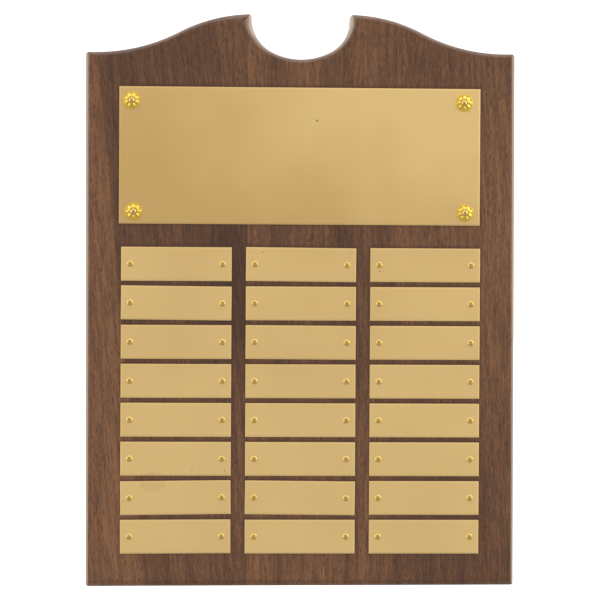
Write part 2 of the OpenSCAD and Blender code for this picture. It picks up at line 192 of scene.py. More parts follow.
@dataclass(frozen=True)
class Walnut:
    """Satin-lacquered black walnut: brown heartwood in soft growth bands, with open pores.

    The lacquer gives the eye a soft sheen over the brown, brighter where an edge turns away.
    Painted shade darkens the wood in a line along the upper edges of the plates, and a painted
    pale highlight lies on the rounded side edges and on the horns. The tones run from -1, the
    darkest heart, through 0 to 1, the lightest streak.
    """

    name: str
    bands: tuple  # tone across the board, as pairs of millimetres from its middle and a tone
    heights: tuple  # tone up the board, as pairs of millimetres above its foot and a tone
    slant: float = 0.0  # degrees that the grain leans to the left of upright
    heart: tuple | None = None  # a dark heart: middle x and z, half width and half height, tone
    seed: float = 0.0
    darkest: str = "#41240F"
    middle: str = "#5E3C22"
    lightest: str = "#805635"
    wander: float = 2.5  # how far the bands wander from straight, in millimetres
    waves: tuple = (30, 30, 9)  # how often the bands wander in a metre, in x, y and z
    # streaks, fibres and flecks: millimetres across and along the grain, detail, and how much
    # each adds to the tone or takes from it
    figure: tuple = ((3.2, 60, 3.0, 0.45), (1.2, 16, 2.0, 0.5), (0.8, 3.2, 2.0, 0.42))
    pore: float = 0.6  # how much darker a pore is
    pore_size: tuple = (0.8, 5.5)  # millimetres across and along the grain
    shade_reach: float = 3.0  # how far from a plate's edge the painted shade can reach, in millimetres
    shade_open: tuple = (0.96, 0.7)  # how open a point is where the painted shade starts and is darkest
    shade_strength: float = 0.8  # how much of the darkest tone the painted shade shows at its darkest
    # pale colour of the painted highlight on the sideways round-overs and the horns
    cloud_and_sheen: str = "#C9B9A6"
    side_sheen: float = 0.36  # how much the painted highlight shows on the side edges
    # the horns' tips: millimetres from the board's middle, and how much the painted highlight shows there
    horn_sheens: tuple = ((-35.1, 0.75), (35.1, 0.55))
    horn_reach: float = 26  # how far from a tip its painted highlight has faded out, in millimetres

    def material(self) -> bpy.types.Material:
        """Makes the material, in the board's own place."""
        material, tree, shader = new_shader(
            self.name, Coat_Weight=0.8, Coat_Roughness=0.24, Specular_IOR_Level=0.1)
        place = add_node(tree, "ShaderNodeTexCoord").outputs["Object"]
        low, _ = board_box()
        grain = add_node(tree, "ShaderNodeMapping", {
            "Vector": place, "Location": (self.seed, self.seed, 0),
            "Rotation": (0, math.radians(self.slant), 0)})
        drift = add_node(tree, "ShaderNodeMapping", {"Vector": grain, "Scale": self.waves})
        drift = add_node(tree, "ShaderNodeTexNoise", {"Vector": drift, "Scale": 1.0, "Detail": 2.0})
        drift = add_node(tree, "ShaderNodeMapRange", {
            "Value": drift, "To Min": -self.wander * MM, "To Max": self.wander * MM})
        drift = add_node(tree, "ShaderNodeCombineXYZ", {"X": drift})
        wood = add_node(tree, "ShaderNodeVectorMath", {0: place, 1: drift}, operation="ADD")
        tone = self._broad_tone(tree, wood, low)
        lean = add_node(tree, "ShaderNodeVectorMath", {0: grain, 1: drift}, operation="ADD")
        for across, along, detail, share in self.figure:
            streak = add_node(tree, "ShaderNodeMapRange", {
                "Value": drawn_noise(tree, lean, across, along, detail, 0.6),
                "From Min": 0.25, "From Max": 0.75, "To Min": -share, "To Max": share})
            tone = add_node(tree, "ShaderNodeMath", {0: tone, 1: streak}, operation="ADD")
        pores = self._pores(tree, lean)
        dark = add_node(tree, "ShaderNodeMath", {0: pores, 1: self.pore}, operation="MULTIPLY")
        tone = add_node(tree, "ShaderNodeMath", {0: tone, 1: dark}, operation="SUBTRACT")
        tone = add_node(tree, "ShaderNodeMapRange", {"Value": tone, "From Min": -1.0, "From Max": 1.0})
        colour = add_node(tree, "ShaderNodeValToRGB", {"Fac": tone}, stops=(
            (0.0, self.darkest), (0.5, self.middle), (1.0, self.lightest)))
        # painted shade in a line just above the plates
        colour = self._shaded_above_plates(tree, colour)
        # painted pale highlight on the sideways round-overs and the horns
        colour = self._painted_sheen(tree, place, colour)
        tree.links.new(colour.outputs[2], shader.inputs["Base Color"])
        dull_and_dark = add_node(tree, "ShaderNodeMapRange", {"Value": pores, "To Min": 0.5, "To Max": 0.75})
        tree.links.new(dull_and_dark.outputs[0], shader.inputs["Roughness"])
        relief = add_node(tree, "ShaderNodeBump", {
            "Height": pores, "Strength": 0.25, "Distance": 0.05 * MM}, invert=True)
        tree.links.new(relief.outputs[0], shader.inputs["Normal"])
        return material

    def _broad_tone(self, tree: bpy.types.NodeTree, wood: bpy.types.Node, low: Vector) -> bpy.types.Node:
        """Sums the tone across the bands, the tone up the board and the dark heart.

        Args:
            tree: The material's node tree.
            wood: The place in the wood.
            low: The board's lowest corner.

        Returns:
            A node whose first output is the tone.
        """
        risen = add_node(tree, "ShaderNodeMapping", {"Vector": wood, "Location": (0, 0, -low.z)})
        axes = add_node(tree, "ShaderNodeSeparateXYZ", {"Vector": risen})
        lean = add_node(tree, "ShaderNodeMath", {
            0: axes.outputs["Z"], 1: math.tan(math.radians(self.slant)), 2: axes.outputs["X"]},
            operation="MULTIPLY_ADD")
        tone = None
        for source, profile in ((lean, self.bands), (axes.outputs["Z"], self.heights)):
            first, last = profile[0][0], profile[-1][0]
            place = add_node(tree, "ShaderNodeMapRange", {
                "Value": source, "From Min": first * MM, "From Max": last * MM})
            ramp = add_node(tree, "ShaderNodeValToRGB", {"Fac": place}, stops=tuple(
                ((at - first) / (last - first), 0.5 + 0.5 * value) for at, value in profile))
            part = add_node(tree, "ShaderNodeMapRange", {"Value": ramp, "To Min": -1.0, "To Max": 1.0})
            tone = part if tone is None else add_node(
                tree, "ShaderNodeMath", {0: tone, 1: part}, operation="ADD")
        if self.heart:
            x, z, half_w, half_h, value = self.heart
            inside = add_node(tree, "ShaderNodeMapRange", {
                "Value": oval_reach(tree, risen, (x * MM, 0, z * MM), half_w, half_h),
                "From Min": 1.0, "From Max": 0.0, "To Max": value}, interpolation_type="SMOOTHSTEP")
            tone = add_node(tree, "ShaderNodeMath", {0: tone, 1: inside}, operation="ADD")
        return tone

    def _shaded_above_plates(self, tree: bpy.types.NodeTree, colour: bpy.types.Node) -> bpy.types.Node:
        """Paints shade on the wood where a plate's edge closes it in, most of all just above a plate.

        The closeness is felt along a way that leans down the board, so a plate below a point
        counts for more than one above it.

        Args:
            tree: The material's node tree.
            colour: The wood's own colour.

        Returns:
            A mix node whose colour output is the wood with its painted shade.
        """
        down = add_node(tree, "ShaderNodeCombineXYZ", {"X": 0.0, "Y": -0.55, "Z": -0.83})
        near = add_node(tree, "ShaderNodeAmbientOcclusion", {
            "Distance": self.shade_reach * MM, "Normal": down}, samples=8)
        shade_strength = add_node(tree, "ShaderNodeMapRange", {
            "Value": near.outputs["AO"], "From Min": self.shade_open[0], "From Max": self.shade_open[1],
            "To Max": self.shade_strength}, interpolation_type="SMOOTHSTEP")
        return add_node(
            tree, "ShaderNodeMix", {"Factor": shade_strength, 6: colour, 7: self.darkest}, data_type="RGBA")

    def _painted_sheen(self, tree: bpy.types.NodeTree, place: bpy.types.NodeSocket,
                 colour: bpy.types.Node) -> bpy.types.Node:
        """Lays cloudy lacquer on the round-overs that face sideways, and more of it on the horns.

        The share rises with the sideways part of the normal. It is none on a face or wall that
        doesn't look forwards at all, such as the sides and the back.

        Args:
            tree: The material's node tree.
            place: The place on the board.
            colour: The mix node whose colour output is the wood so far.

        Returns:
            A mix node whose colour output is the wood with its painted highlight.
        """
        facing = add_node(tree, "ShaderNodeTexCoord").outputs["Normal"]
        facing = add_node(tree, "ShaderNodeSeparateXYZ", {"Vector": facing}).outputs
        sideways = add_node(tree, "ShaderNodeMath", {0: facing["X"]}, operation="ABSOLUTE")
        cloud_and_sheen = add_node(tree, "ShaderNodeMapRange", {
            "Value": sideways, "From Min": 0.08, "From Max": 0.68, "To Max": self.side_sheen},
            interpolation_type="SMOOTHSTEP")
        turned = add_node(tree, "ShaderNodeMapRange", {
            "Value": sideways, "From Min": 0.01, "From Max": 0.2}, interpolation_type="SMOOTHSTEP")
        top = board_box()[1].z
        for x, strength in self.horn_sheens:
            near = add_node(
                tree, "ShaderNodeVectorMath", {0: place, 1: (x * MM, 0, top)}, operation="DISTANCE")
            near = add_node(tree, "ShaderNodeMapRange", {
                "Value": near.outputs["Value"], "From Min": self.horn_reach * MM, "From Max": 0.0,
                "To Max": strength})
            cloud_and_sheen = add_node(
                tree, "ShaderNodeMath", {0: near, 1: turned, 2: cloud_and_sheen}, operation="MULTIPLY_ADD")
        front = add_node(tree, "ShaderNodeMapRange", {
            "Value": facing["Y"], "From Min": -0.03, "From Max": -0.25}, interpolation_type="SMOOTHSTEP")
        cloud_and_sheen = add_node(tree, "ShaderNodeMath", {0: cloud_and_sheen, 1: front}, operation="MULTIPLY", use_clamp=True)
        return add_node(tree, "ShaderNodeMix", {
            "Factor": cloud_and_sheen, 6: colour.outputs[2], 7: self.cloud_and_sheen}, data_type="RGBA")

    def _pores(self, tree: bpy.types.NodeTree, lean: bpy.types.Node) -> bpy.types.Node:
        """Draws open pores as short dark dashes, twice their real width so that they show.

        Args:
            tree: The material's node tree.
            lean: The place in the wood, with the grain upright.

        Returns:
            A node whose first output is 1 in a pore and 0 between pores.
        """
        return add_node(tree, "ShaderNodeMapRange", {
            "Value": drawn_noise(tree, lean, *self.pore_size, 1.0),
            "From Min": 0.56, "From Max": 0.70}, interpolation_type="SMOOTHSTEP")


@dataclass(frozen=True)
class SheetBrass:
    """Rolled sheet brass with a satin face: a pale gold metal with a soft, even sheen.

    Its tone runs from 0, the shade, to 1, the face, and a painted light gradient shifts it
    across the plates. Handling has left a few stains in it.
    """

    name: str
    face: str = "#F4D18E"
    shade: str = "#E5C180"
    roughness: float = 0.42
    lean: tuple = (0.0, 0.0)  # how much lighter it gets for each metre to the right and up, a painted light gradient
    level: float = 0.5  # tone where the lean has no effect
    # stains: millimetres right of the board's middle and above its foot, half width and half
    # height in millimetres, and how much of the stain's colour shows
    stains: tuple = ()
    stain: str = "#9A7640"

    def material(self, middle: Vector) -> bpy.types.Material:
        """Makes the material, with slow changes of tone, a painted light gradient and a slightly uneven
        face.

        Args:
            middle: The place that the lean is measured from.

        Returns:
            The material.
        """
        material, tree, shader = new_shader(self.name, Metallic=1.0)
        place = add_node(tree, "ShaderNodeTexCoord").outputs["Object"]
        cloud_and_sheen = add_node(tree, "ShaderNodeTexNoise", {
            "Vector": place, "Scale": 1 / (70 * MM), "Detail": 2.0, "Roughness": 0.5})
        cloud_and_sheen = add_node(tree, "ShaderNodeMapRange", {
            "Value": cloud_and_sheen, "From Min": 0.3, "From Max": 0.7, "To Min": -0.25, "To Max": 0.25})
        # painted light gradient: the tone rises along the lean away from the middle
        off = add_node(tree, "ShaderNodeVectorMath", {0: place, 1: middle}, operation="SUBTRACT")
        rise = add_node(tree, "ShaderNodeVectorMath", {
            0: off, 1: (self.lean[0], 0, self.lean[1])}, operation="DOT_PRODUCT")
        tone = add_node(tree, "ShaderNodeMath", {0: rise.outputs["Value"], 1: cloud_and_sheen}, operation="ADD")
        tone = add_node(tree, "ShaderNodeMath", {0: tone, 1: self.level}, operation="ADD", use_clamp=True)
        colour = add_node(
            tree, "ShaderNodeMix", {"Factor": tone, 6: self.shade, 7: self.face}, data_type="RGBA")
        for stain in self.stains:
            colour = self._stained(tree, place, colour, stain)
        tree.links.new(colour.outputs[2], shader.inputs["Base Color"])
        grit = add_node(tree, "ShaderNodeTexNoise", {
            "Vector": place, "Scale": 1 / (1.2 * MM), "Detail": 2.0})
        rough = add_node(tree, "ShaderNodeMapRange", {
            "Value": grit, "To Min": self.roughness - 0.05, "To Max": self.roughness + 0.05})
        tree.links.new(rough.outputs[0], shader.inputs["Roughness"])
        swell = add_node(tree, "ShaderNodeTexNoise", {
            "Vector": place, "Scale": 1 / (95 * MM), "Detail": 1.0})
        relief = add_node(tree, "ShaderNodeBump", {
            "Height": swell, "Strength": 0.5, "Distance": 1.2 * MM})
        relief = add_node(tree, "ShaderNodeBump", {
            "Height": grit, "Strength": 0.12, "Distance": 0.03 * MM, "Normal": relief})
        tree.links.new(relief.outputs[0], shader.inputs["Normal"])
        return material

    def _stained(self, tree: bpy.types.NodeTree, place: bpy.types.NodeSocket, colour: bpy.types.Node,
                 stain: tuple) -> bpy.types.Node:
        """Adds one oval stain to the colour.

        Args:
            tree: The material's node tree.
            place: The place on the plate.
            colour: The mix node whose colour output is the brass so far.
            stain: The stain's place, half sizes and strength.

        Returns:
            A mix node whose colour output is the stained brass.
        """
        x, z, half_w, half_h, strength = stain
        foot = board_box()[0].z
        share = add_node(tree, "ShaderNodeMapRange", {
            "Value": oval_reach(tree, place, (x * MM, 0, foot + z * MM), half_w, half_h),
            "From Min": 1.1, "From Max": 0.8, "To Max": strength}, interpolation_type="SMOOTHSTEP")
        return add_node(tree, "ShaderNodeMix", {
            "Factor": share, 6: colour.outputs[2], 7: self.stain}, data_type="RGBA")


@dataclass(frozen=True)
class BrightBrass:
    """Drawn or pressed brass under clear lacquer: a bright metal with painted shade in its hollows.

    A point's own attribute for a painted dark reflection, where its mesh has one, darkens it as
    the hollows' painted shade does, and another attribute lays a painted pale highlight on it.
    """

    name: str
    high: str
    low: str
    roughness: float
    hollow: float = 0.6  # how much of the low colour shows in the hollows, as painted shade
    lacquer: float = 0.6
    # pale colour of the painted highlight on the ribs
    rib_highlight: str = "#DDC87C"

    def material(self) -> bpy.types.Material:
        """Makes the material, with painted shade in hollows, painted dark reflections and a painted
        highlight.
        """
        material, tree, shader = new_shader(
            self.name, Metallic=1.0, Coat_Weight=self.lacquer, Coat_Roughness=0.12)
        place = add_node(tree, "ShaderNodeTexCoord").outputs["Object"]
        fleck = add_node(tree, "ShaderNodeTexNoise", {
            "Vector": place, "Scale": 1 / (1.6 * MM), "Detail": 2.0})
        # painted shade: ambient occlusion darkens the hollows, with random flecks mixed in
        crevice = add_node(tree, "ShaderNodeAmbientOcclusion", {"Distance": 1.2 * MM}, samples=8)
        painted_darkening = add_node(tree, "ShaderNodeMapRange", {
            "Value": crevice.outputs["AO"], "From Min": 0.35, "From Max": 0.95,
            "To Min": self.hollow, "To Max": 0.0})
        painted_darkening = add_node(tree, "ShaderNodeMath", {0: painted_darkening, 1: fleck}, operation="ADD")
        painted_darkening = add_node(tree, "ShaderNodeMath", {0: painted_darkening, 1: 0.5}, operation="SUBTRACT", use_clamp=True)
        # painted dark reflection in the middle of a domed head, from its vertex attribute
        painted_dark_reflection = add_node(tree, "ShaderNodeAttribute", attribute_name=PAINTED_DARK_REFLECTION)
        painted_darkening = add_node(tree, "ShaderNodeMath", {
            0: painted_darkening, 1: painted_dark_reflection.outputs["Fac"]}, operation="ADD", use_clamp=True)
        colour = add_node(
            tree, "ShaderNodeMix", {"Factor": painted_darkening, 6: self.high, 7: self.low}, data_type="RGBA")
        # painted pale highlight along the rosettes' ribs, from its vertex attribute
        rib_highlight = add_node(tree, "ShaderNodeAttribute", attribute_name=RIB_HIGHLIGHT)
        colour = add_node(tree, "ShaderNodeMix", {
            "Factor": rib_highlight.outputs["Fac"], 6: colour.outputs[2], 7: self.rib_highlight}, data_type="RGBA")
        tree.links.new(colour.outputs[2], shader.inputs["Base Color"])
        rough = add_node(tree, "ShaderNodeMapRange", {
            "Value": fleck, "To Min": self.roughness - 0.04, "To Max": self.roughness + 0.06})
        tree.links.new(rough.outputs[0], shader.inputs["Roughness"])
        return material


@dataclass(frozen=True)
class ZincPlate:
    """Bright zinc plating on steel: a cool grey metal with a faint blue and clouded patches."""

    name: str = "bright_zinc"
    clear: str = "#C3C8CE"
    cloudy: str = "#9EA4AA"

    def material(self) -> bpy.types.Material:
        """Makes the material, with fine drawing lines and clouded patches."""
        material, tree, shader = new_shader(self.name, Metallic=1.0)
        place = add_node(tree, "ShaderNodeTexCoord").outputs["Object"]
        patch = add_node(tree, "ShaderNodeTexNoise", {
            "Vector": place, "Scale": 1 / (6 * MM), "Detail": 4.0})
        colour = add_node(
            tree, "ShaderNodeMix", {"Factor": patch, 6: self.clear, 7: self.cloudy}, data_type="RGBA")
        tree.links.new(colour.outputs[2], shader.inputs["Base Color"])
        rough = add_node(tree, "ShaderNodeMapRange", {"Value": patch, "To Min": 0.25, "To Max": 0.45})
        tree.links.new(rough.outputs[0], shader.inputs["Roughness"])
        lines = drawn_noise(tree, place, 0.25, 20, 1.0)
        relief = add_node(tree, "ShaderNodeBump", {
            "Height": lines, "Strength": 0.2, "Distance": 0.02 * MM})
        tree.links.new(relief.outputs[0], shader.inputs["Normal"])
        return material


# ---- meshes ----


def board_box() -> tuple[Vector, Vector]:
    """Gives the lowest and highest corners of the whole board."""
    boxes = [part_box(node) for node in ("stave_left", "stave_centre", "stave_right")]
    low, high = np.min([b[0] for b in boxes], axis=0), np.max([b[1] for b in boxes], axis=0)
    return Vector(low.tolist()), Vector(high.tolist())


def node_points(node: str) -> np.ndarray:
    """Reads a CAD node's vertices.

    Args:
        node: The node's name.

    Returns:
        One row of x, y and z for each vertex.
    """
    return piece_points(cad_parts[node])


def grid_faces(rows: int, columns: int) -> np.ndarray:
    """Numbers the four-sided faces of a grid whose last column joins its first.

    Args:
        rows: How many rows of points the grid has.
        columns: How many points a row has.

    Returns:
        One row of four point numbers for each face.
    """
    row, column = np.meshgrid(np.arange(rows - 1), np.arange(columns), indexing="ij")
    beside = (column + 1) % columns
    return np.stack([row * columns + column, row * columns + beside,
                     (row + 1) * columns + beside, (row + 1) * columns + column], axis=-1).reshape(-1, 4)


def solid_from(points: np.ndarray, faces: list) -> bmesh.types.BMesh:
    """Makes a closed mesh whose faces point outwards.

    Args:
        points: One row of x, y and z for each point.
        faces: The point numbers of each face.

    Returns:
        The mesh, with doubled points merged.
    """
    mesh = bpy.data.meshes.new("draft")
    mesh.from_pydata(points.tolist(), [], faces)
    solid = bmesh.new()
    solid.from_mesh(mesh)
    bpy.data.meshes.remove(mesh)
    bmesh.ops.remove_doubles(solid, verts=solid.verts, dist=MERGE)
    bmesh.ops.recalc_face_normals(solid, faces=solid.faces)
    return solid


def make_object(name: str, solid: bmesh.types.BMesh) -> bpy.types.Object:
    """Puts a mesh into the scene as an object at the origin, smooth but for its sharp edges.

    Args:
        name: The object's name.
        solid: The mesh, which is freed.

    Returns:
        The new object.
    """
    mesh = bpy.data.meshes.new(name)
    solid.to_mesh(mesh)
    solid.free()
    mesh.shade_smooth()
    mesh.set_sharp_from_angle(angle=SHARP_ANGLE)
    piece = bpy.data.objects.new(name, mesh)
    bpy.context.scene.collection.objects.link(piece)
    return piece


def piece_points(piece: bpy.types.Object) -> np.ndarray:
    """Reads a piece's vertices, one row of x, y and z each."""
    points = np.empty(len(piece.data.vertices) * 3)
    piece.data.vertices.foreach_get("co", points)
    return points.reshape(-1, 3)


def mark_points(piece: bpy.types.Object, name: str, values: np.ndarray) -> None:
    """Gives each vertex of a piece a value that its material can read.

    Args:
        piece: The piece.
        name: The attribute's name.
        values: One value for each vertex.
    """
    piece.data.attributes.new(name, "FLOAT", "POINT").data.foreach_set("value", values)


def turned_solid(profile: np.ndarray, seats: np.ndarray, segments: int) -> bmesh.types.BMesh:
    """Turns one profile about an axis through each seat.

    A point is the seat, plus its radius times the cosine and sine of the turn in x and z, minus
    its height in y, because the axis points out of the plaque's front.

    Args:
        profile: Rows of radius and height above the seat, from the middle out and back.
        seats: One row of x, y and z for each seat.
        segments: How many steps a full turn has.

    Returns:
        One mesh that holds a separate solid on each seat.
    """
    turn = np.linspace(0, 2 * math.pi, segments, endpoint=False)
    radius, height = profile[:, :1], profile[:, 1:]
    ring = np.stack([radius * np.cos(turn), -height + 0 * turn, radius * np.sin(turn)], axis=-1)
    points = (seats[:, None, None, :] + ring[None]).reshape(-1, 3)
    faces = grid_faces(len(profile), segments)
    faces = (faces[None] + (np.arange(len(seats)) * len(profile) * segments)[:, None, None]).reshape(-1, 4)
    return solid_from(points, faces.tolist())


def hand_over(piece: bpy.types.Object, slot: Slot, *nodes: str) -> None:
    """Makes a new piece ride on the plaque and stand for its CAD nodes.

    Args:
        piece: The new piece.
        slot: Not used.
        nodes: The CAD nodes that it stands for.
    """
    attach(piece, BODY)
    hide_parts(*nodes)
    LOG.info("%s: %d faces for %s", piece.name, len(piece.data.polygons), ", ".join(nodes))


def dress_node(node: str, material: bpy.types.Material) -> None:
    """Gives a CAD node that stays in view its material.

    Args:
        node: The node's name.
        material: The material for all of it.
    """
    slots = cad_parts[node].material_slots
    if not slots:
        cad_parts[node].data.materials.append(material)
    for slot in slots:
        slot.material = material
    LOG.info("%s: dressed in %s", node, material.name)


# ---- the board ----


@dataclass
class Outline:
    """A run of points round the board, seen from the front, with their ways into the wood.

    A point goes straight in along its inward way for its ease, and from there on along its mitre.
    Only the points of an eased corner have a mitre: they meet at the corner arc's centre.
    """

    at: np.ndarray
    inward: np.ndarray
    ease: np.ndarray
    mitre: np.ndarray

    def offset(self, distance: np.ndarray) -> np.ndarray:
        """Moves each point into the wood by its own distance.

        Args:
            distance: How far each point goes.

        Returns:
            One row of x and z for each point.
        """
        straight = np.minimum(distance, self.ease)[:, None]
        beyond = np.maximum(distance - self.ease, 0)[:, None]
        return self.at + straight * self.inward + beyond * self.mitre

    def mirrored(self) -> "Outline":
        """Gives the same run on the other side, in the other order."""
        flip = np.array([-1.0, 1.0])
        return Outline((self.at * flip)[::-1], (self.inward * flip)[::-1], self.ease[::-1],
                       (self.mitre * flip)[::-1])


def joined(runs: list[Outline]) -> Outline:
    """Joins runs end to end."""
    return Outline(*(np.concatenate([getattr(run, part) for run in runs])
                     for part in ("at", "inward", "ease", "mitre")))


def arc_run(centre: tuple[float, float], radius: float, start: float, end: float,
            spacing: float, wood_inside: bool) -> Outline:
    """Makes a run of points along an arc.

    Args:
        centre: The arc's centre, in x and z.
        radius: The arc's radius.
        start: The angle at which it starts, in degrees from +X towards +Z.
        end: The angle at which it ends.
        spacing: The most that two neighbours lie apart.
        wood_inside: True where the wood lies on the centre's side of the arc.

    Returns:
        The run, without a mitre.
    """
    count = 2 + int(abs(math.radians(end - start)) * radius / spacing)
    angle = np.radians(np.linspace(start, end, count))
    out = np.stack([np.cos(angle), np.sin(angle)], axis=-1)
    return Outline(np.array(centre) + radius * out, -out if wood_inside else out,
                   np.full(count, np.inf), np.zeros((count, 2)))


def corner_run(centre: tuple[float, float], ease: float, start: float, end: float,
               mitre: tuple[float, float]) -> Outline:
    """Makes the run round an eased corner of the board.

    Args:
        centre: The corner arc's centre, in x and z.
        ease: The corner arc's radius.
        start: The angle at which it starts, in degrees from +X towards +Z.
        end: The angle at which it ends.
        mitre: How far x and z go for each step further in, past the centre.

    Returns:
        The run, with its mitre.
    """
    steps = 9
    angle = np.radians(np.linspace(start, end, steps))
    out = np.stack([np.cos(angle), np.sin(angle)], axis=-1)
    return Outline(np.array(centre) + ease * out, -out, np.full(steps, ease),
                   np.tile(np.array(mitre), (steps, 1)))


@dataclass
class Board:
    """The walnut board, glued up from three staves, with its notched top and round-over edge."""

    crown_rise: float = 27.4 * MM
    shoulder_flat: float = 7 * MM
    cove_share: float = 0.525  # share of each shoulder curve's reach that is the hollow cove
    corner_ease: float = 2 * MM
    edge_round: float = 4 * MM
    notch_w: float = 70.2 * MM
    notch_depth: float = 32 * MM
    notch_wall: float = 3.05 * MM
    notch_side_r: float = 26.923 * MM
    crown_lead: float = 1.6 * MM
    horn_round: float = 6.6 * MM  # reach of the round-over where the left horn was sanded softer
    horn_fade: float = 30 * MM  # how far from that horn's tip the softer edge has faded out
    back_ease: float = 0.4 * MM
    hold: float = 0.4 * MM  # width of the flat strip that keeps a face's shading flat
    spacing: float = 0.9 * MM
    round_steps: int = 12
    recess_clear: float = 0.2 * MM
    pocket_depth: float = 8 * MM
    pocket_r: float = 5.5 * MM
    slot_run: float = 11 * MM
    low: Vector = field(default_factory=lambda: board_box()[0])
    high: Vector = field(default_factory=lambda: board_box()[1])

    def outline(self) -> Outline:
        """Works out the board's outline from its arcs.

        The right half runs from the middle of the notch up the horn, over the crown, down the
        cove and along the shoulder to the side and the foot. Two arcs that touch have centres
        as far apart as their radii together, or as their difference where one holds the other.

        Returns:
            The closed outline, clockwise seen from the front.
        """
        half_w, top, foot = self.high.x, self.high.z, self.low.z
        shoulder = top - self.crown_rise
        notch_half = self.notch_w / 2
        crown_x, cove_x = notch_half - self.crown_lead, half_w - self.shoulder_flat
        reach = cove_x - crown_x
        both_r = (reach ** 2 + self.crown_rise ** 2) / (2 * self.crown_rise)
        cove_r = both_r * self.cove_share
        crown_r = both_r - cove_r
        crown_z, cove_z = top - crown_r, shoulder + cove_r
        bend = math.degrees(math.atan2(cove_z - crown_z, reach))
        side_x, side_z = notch_half - self.notch_side_r, top - self.notch_wall
        rise = side_z - (top - self.notch_depth)
        floor_r = (side_x ** 2 + rise ** 2 - self.notch_side_r ** 2) / (2 * (rise - self.notch_side_r))
        floor_z = top - self.notch_depth + floor_r
        touch = math.degrees(math.atan2(floor_z - side_z, side_x))
        deepest = self.horn_round + self.hold
        ease = self.corner_ease
        tip_x = notch_half + ease
        tip_z = crown_z + math.sqrt((crown_r - ease) ** 2 - (tip_x - crown_x) ** 2)
        tip_turn = math.degrees(math.atan2(tip_z - crown_z, tip_x - crown_x))
        mitre_z = top - deepest
        mitre_x = side_x + math.sqrt((self.notch_side_r + deepest) ** 2 - (side_z - mitre_z) ** 2)
        mitre_z = crown_z + math.sqrt((crown_r - deepest) ** 2 - (mitre_x - crown_x) ** 2)
        tip_mitre = ((mitre_x - tip_x) / (deepest - ease), (mitre_z - tip_z) / (deepest - ease))
        clear_of_mitre = 1.5
        wall_turn = math.degrees(math.atan2(side_z - mitre_z, mitre_x - side_x)) + clear_of_mitre
        crown_turn = math.degrees(math.atan2(mitre_z - crown_z, mitre_x - crown_x)) - clear_of_mitre / 3
        right = joined([
            arc_run((0, floor_z), floor_r, -90, -touch, self.spacing, False),
            arc_run((side_x, side_z), self.notch_side_r, -touch, -wall_turn, self.spacing, False),
            corner_run((tip_x, tip_z), ease, 180, tip_turn, tip_mitre),
            arc_run((crown_x, crown_z), crown_r, crown_turn, bend, self.spacing, True),
            arc_run((cove_x, cove_z), cove_r, 180 + bend, 270, self.spacing, False),
            corner_run((half_w - ease, shoulder - ease), ease, 90, 0, (-1, -1)),
            corner_run((half_w - ease, foot + ease), ease, 0, -90, (-1, 1)),
        ])
        return joined([right, right.mirrored()])

    def shell(self) -> bmesh.types.BMesh:
        """Builds the whole board as one closed mesh.

        Each ring of points is the outline moved in by a distance and lying at a depth. Over the
        round-over the distance is the reach times one less the cosine of an angle, and the depth
        from the front is the radius times one less its sine.

        Returns:
            The mesh, with one large face on the front and one on the back.
        """
        outline = self.outline()
        tip = np.array([-self.notch_w / 2, self.high.z])
        near = 1 - np.linalg.norm(outline.at - tip, axis=1) / self.horn_fade
        near = np.clip(near, 0, 1) ** 0.5 * (outline.at[:, 0] < 0)
        reach = self.edge_round + (self.horn_round - self.edge_round) * near
        angle = np.linspace(0, math.pi / 2, self.round_steps + 1)
        still = np.zeros(3)
        share = np.concatenate([np.zeros(6), 1 - np.cos(angle), [1.0]])
        fixed = np.concatenate([
            [self.back_ease + self.hold, self.back_ease, self.back_ease * 0.3], still,
            np.zeros(len(angle)), [self.hold]])
        front = self.low.y
        depth = np.concatenate([
            [0, 0, -self.back_ease * 0.3, -self.back_ease, -self.back_ease - self.hold,
             front + self.edge_round + self.hold],
            front + self.edge_round * (1 - np.sin(angle)), [front]])
        rings = [outline.offset(f + s * reach) for f, s in zip(fixed, share)]
        points = np.stack([np.column_stack([ring[:, 0], np.full(len(ring), y), ring[:, 1]])
                           for ring, y in zip(rings, depth)])
        count = points.shape[1]
        faces = grid_faces(len(points), count).tolist()
        first = (len(points) - 1) * count
        faces += [list(range(count)), list(range(first, first + count))]
        return solid_from(points.reshape(-1, 3), faces)

    def stave(self, shell: bmesh.types.BMesh, left: float | None, right: float | None) -> bmesh.types.BMesh:
        """Cuts one stave out of the board along its glue lines.

        Args:
            shell: The whole board.
            left: The glue line on its left, or None.
            right: The glue line on its right, or None.

        Returns:
            The stave as a closed mesh.
        """
        part = shell.copy()
        for place, way in ((left, -1), (right, 1)):
            if place is None:
                continue
            bmesh.ops.bisect_plane(
                part, geom=part.verts[:] + part.edges[:] + part.faces[:], dist=MERGE / 10,
                plane_co=(place, 0, 0), plane_no=(way, 0, 0), clear_outer=True)
            bmesh.ops.holes_fill(part, edges=[e for e in part.edges if e.is_boundary], sides=0)
        bmesh.ops.recalc_face_normals(part, faces=part.faces)
        return part

    def recess_cutters(self) -> list[bpy.types.Object]:
        """Makes the two cutters for the hanger's seat and for the pocket behind it."""
        low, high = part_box("keyhole_hanger")
        plate_r = (high[0] - low[0]) / 2
        seat = (low[2] + plate_r, high[2] - plate_r, plate_r + self.recess_clear, high[1] - low[1])
        pocket = (0.0, self.slot_run, self.pocket_r, self.pocket_depth)
        cutters = []
        for low_z, high_z, radius, depth in (seat, pocket):
            turn = np.linspace(0, 2 * math.pi, 96, endpoint=False)
            middle = np.where(np.sin(turn) > 0, high_z, low_z)
            ring = np.column_stack([radius * np.cos(turn), 0 * turn, middle + radius * np.sin(turn)])
            points = np.concatenate([ring - (0, depth, 0), ring + (0, self.hold, 0)])
            count = len(ring)
            faces = grid_faces(2, count).tolist()
            faces += [list(range(count)), list(range(count, 2 * count))]
            cutters.append(make_object("cutter", solid_from(points, faces)))
        return cutters

